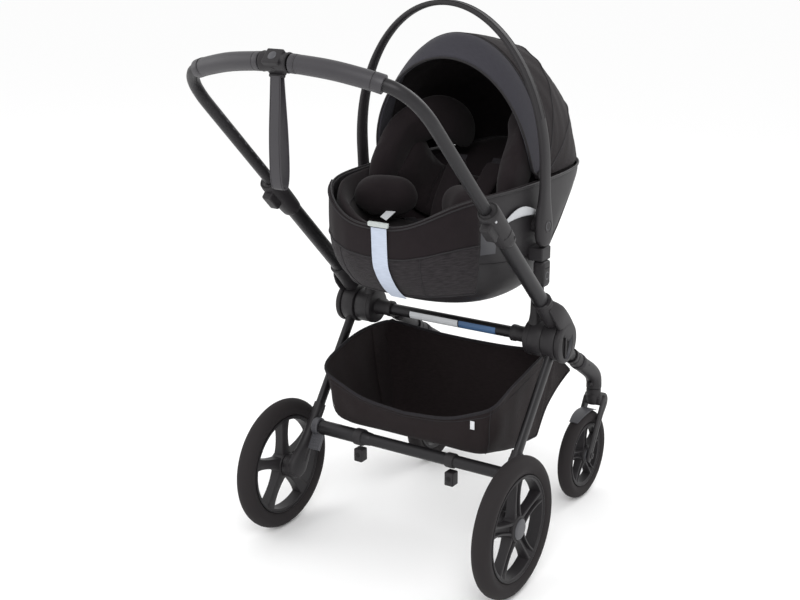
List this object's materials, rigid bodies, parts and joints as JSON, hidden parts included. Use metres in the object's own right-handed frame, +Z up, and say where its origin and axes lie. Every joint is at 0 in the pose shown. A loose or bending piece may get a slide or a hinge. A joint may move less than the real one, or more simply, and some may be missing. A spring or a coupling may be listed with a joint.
{
  "type": "travel system stroller",
  "caption": "Folding pushchair frame with air-style wheels that carries a padded infant seat with a carry handle and hooded canopy, and a cloth basket below.",
  "frame": {"origin": "on the floor, under the middle of the whole stroller's box", "axes": "+Z up, +Y the way it is pushed, +X its right side"},
  "size_m": [0.616, 0.965, 1.1441],
  "materials": {
    "black_anodised_aluminium": "black anodised, satin",
    "black_leatherette": "stitched imitation leather, fine grain",
    "black_moulded_nylon": "fine grained moulding",
    "black_rubber_foam": "matt foam-filled tread",
    "black_seat_fabric": "plain knitted cover over foam",
    "bright_steel": "plain steel pin",
    "clear_grey_clip": "clear grey moulding",
    "dark_basket_fabric": "plain woven polyester",
    "grey_brim_fabric": "smooth coated fabric",
    "grey_moulded_nylon": "satin moulding",
    "pale_webbing": "flat woven webbing",
    "red_plastic": "satin red moulding"
  },
  "bodies": {
    "frame": {"hub_core_left": "black_moulded_nylon", "hub_core_right": "black_moulded_nylon", "hub_pin_left": "bright_steel", "hub_pin_right": "bright_steel", "cross_tube": "black_anodised_aluminium", "front_leg_left": "black_anodised_aluminium", "front_leg_right": "black_anodised_aluminium", "front_elbow_left": "black_moulded_nylon", "front_elbow_right": "black_moulded_nylon", "adapter_left": "black_moulded_nylon", "adapter_right": "black_moulded_nylon", "storage_basket": "dark_basket_fabric"},
    "handle": {"handle_hub_left": "black_moulded_nylon", "handle_hub_right": "black_moulded_nylon", "outer_tube_left": "black_anodised_aluminium", "outer_tube_right": "black_anodised_aluminium", "height_clamp_left": "black_moulded_nylon", "height_clamp_right": "black_moulded_nylon"},
    "upper_handle": {"handle_bow": "black_anodised_aluminium", "handle_grip_left": "black_leatherette", "handle_grip_right": "black_leatherette", "grip_clasp": "black_moulded_nylon"},
    "clasp_button": {"clasp_button": "grey_moulded_nylon"},
    "wrist_strap": {"wrist_strap": "black_leatherette"},
    "rear_frame": {"rear_leg_left": "black_anodised_aluminium", "rear_leg_right": "black_anodised_aluminium", "rear_boss_left": "black_moulded_nylon", "rear_boss_right": "black_moulded_nylon", "rear_axle_tube": "black_anodised_aluminium", "axle_lug_left": "black_moulded_nylon", "axle_lug_right": "black_moulded_nylon"},
    "brake": {"brake_pedal": "grey_moulded_nylon"},
    "rear_wheel_left": {"rear_tyre_left": "black_rubber_foam", "rear_rim_left": "black_moulded_nylon"},
    "caster_left": {"caster_fork_left": "black_moulded_nylon"},
    "front_wheel_left": {"front_tyre_left": "black_rubber_foam", "front_rim_left": "black_moulded_nylon"},
    "swivel_lock_left": {"swivel_lock_left": "black_moulded_nylon"},
    "adapter_button_left": {"adapter_button_left": "grey_moulded_nylon"},
    "rear_wheel_right": {"rear_tyre_right": "black_rubber_foam", "rear_rim_right": "black_moulded_nylon"},
    "caster_right": {"caster_fork_right": "black_moulded_nylon"},
    "front_wheel_right": {"front_tyre_right": "black_rubber_foam", "front_rim_right": "black_moulded_nylon"},
    "swivel_lock_right": {"swivel_lock_right": "black_moulded_nylon"},
    "adapter_button_right": {"adapter_button_right": "grey_moulded_nylon"},
    "seat": {"seat_shell": "black_moulded_nylon", "foot_cover": "black_seat_fabric", "seat_liner": "black_seat_fabric", "newborn_insert": "black_seat_fabric", "headrest": "black_seat_fabric", "harness_buckle": "black_moulded_nylon", "pull_strap": "pale_webbing", "strap_clip": "clear_grey_clip", "canopy_dome": "black_seat_fabric"},
    "carry_handle": {"carry_handle": "black_moulded_nylon"},
    "carry_button_left": {"carry_button_left": "grey_moulded_nylon"},
    "carry_button_right": {"carry_button_right": "grey_moulded_nylon"},
    "canopy": {"canopy_brim": "grey_brim_fabric"},
    "buckle_button": {"buckle_button": "red_plastic"}
  },
  "joints": [
    {"name": "handle_fold", "type": "hinge", "parent": "frame", "child": "handle", "pos_m": [0, 0.12168, 0.4622], "axis": [-1, 0, 0], "range_deg": [0, 150]},
    {"name": "rear_fold", "type": "hinge", "parent": "frame", "child": "rear_frame", "pos_m": [0, 0.12168, 0.4622], "axis": [1, 0, 0], "range_deg": [0, 35]},
    {"name": "handle_height", "type": "slide", "parent": "handle", "child": "upper_handle", "axis": [0, -0.7117, 0.7025], "range_m": [-0.1, 0.04]},
    {"name": "clasp_press", "type": "slide", "parent": "upper_handle", "child": "clasp_button", "axis": [0, 0.7117, -0.7025], "range_m": [0, 0.0015], "stiffness_N_per_m": 600, "springref_m": -0.001},
    {"name": "wrist_strap_swing", "type": "hinge", "parent": "upper_handle", "child": "wrist_strap", "pos_m": [0, -0.46161, 1.05132], "axis": [1, 0, 0], "range_deg": [-40, 25]},
    {"name": "brake_press", "type": "hinge", "parent": "rear_frame", "child": "brake", "pos_m": [-0.23425, -0.06352, 0.2285], "axis": [1, 0, 0], "range_deg": [0, 20]},
    {"name": "rear_spin_left", "type": "hinge", "parent": "rear_frame", "child": "rear_wheel_left", "pos_m": [-0.288, -0.11552, 0.1455], "axis": [1, 0, 0], "continuous": true},
    {"name": "caster_turn_left", "type": "hinge", "parent": "frame", "child": "caster_left", "pos_m": [-0.203, 0.43048, 0.252], "axis": [0, 0, 1], "continuous": true},
    {"name": "front_spin_left", "type": "hinge", "parent": "caster_left", "child": "front_wheel_left", "pos_m": [-0.203, 0.37848, 0.104], "axis": [1, 0, 0], "continuous": true},
    {"name": "lock_slide_left", "type": "slide", "parent": "frame", "child": "swivel_lock_left", "axis": [0, 0, 1], "range_m": [0, 0.005]},
    {"name": "adapter_press_left", "type": "slide", "parent": "frame", "child": "adapter_button_left", "axis": [1, 0, 0], "range_m": [0, 0.0025], "stiffness_N_per_m": 600, "springref_m": -0.001},
    {"name": "rear_spin_right", "type": "hinge", "parent": "rear_frame", "child": "rear_wheel_right", "pos_m": [0.288, -0.11552, 0.1455], "axis": [1, 0, 0], "continuous": true},
    {"name": "caster_turn_right", "type": "hinge", "parent": "frame", "child": "caster_right", "pos_m": [0.203, 0.43048, 0.252], "axis": [0, 0, 1], "continuous": true},
    {"name": "front_spin_right", "type": "hinge", "parent": "caster_right", "child": "front_wheel_right", "pos_m": [0.203, 0.37848, 0.104], "axis": [1, 0, 0], "continuous": true},
    {"name": "lock_slide_right", "type": "slide", "parent": "frame", "child": "swivel_lock_right", "axis": [0, 0, 1], "range_m": [0, 0.005]},
    {"name": "adapter_press_right", "type": "slide", "parent": "frame", "child": "adapter_button_right", "axis": [-1, 0, 0], "range_m": [0, 0.0025], "stiffness_N_per_m": 600, "springref_m": -0.001},
    {"name": "seat_lift", "type": "slide", "parent": "frame", "child": "seat", "axis": [0, 0, 1], "range_m": [0, 0.3]},
    {"name": "carry_turn", "type": "hinge", "parent": "seat", "child": "carry_handle", "pos_m": [0, 0.11768, 0.703], "axis": [-1, 0, 0], "range_deg": [0, 100]},
    {"name": "canopy_turn", "type": "hinge", "parent": "seat", "child": "canopy", "pos_m": [0, 0.14648, 0.7991], "axis": [-1, 0, 0], "range_deg": [0, 70], "deforming": ["canopy_dome"]},
    {"name": "buckle_press", "type": "slide", "parent": "seat", "child": "buckle_button", "axis": [0, -0.2419, -0.9703], "range_m": [0, 0.0022], "stiffness_N_per_m": 900, "springref_m": -0.001},
    {"name": "carry_press_left", "type": "slide", "parent": "carry_handle", "child": "carry_button_left", "axis": [1, 0, 0], "range_m": [0, 0.0025], "stiffness_N_per_m": 600, "springref_m": -0.001},
    {"name": "carry_press_right", "type": "slide", "parent": "carry_handle", "child": "carry_button_right", "axis": [-1, 0, 0], "range_m": [0, 0.0025], "stiffness_N_per_m": 600, "springref_m": -0.001}
  ],
  "couplings": [
    {"joint": "rear_fold", "follows": "handle_fold", "ratio": 0.23333}
  ]
}
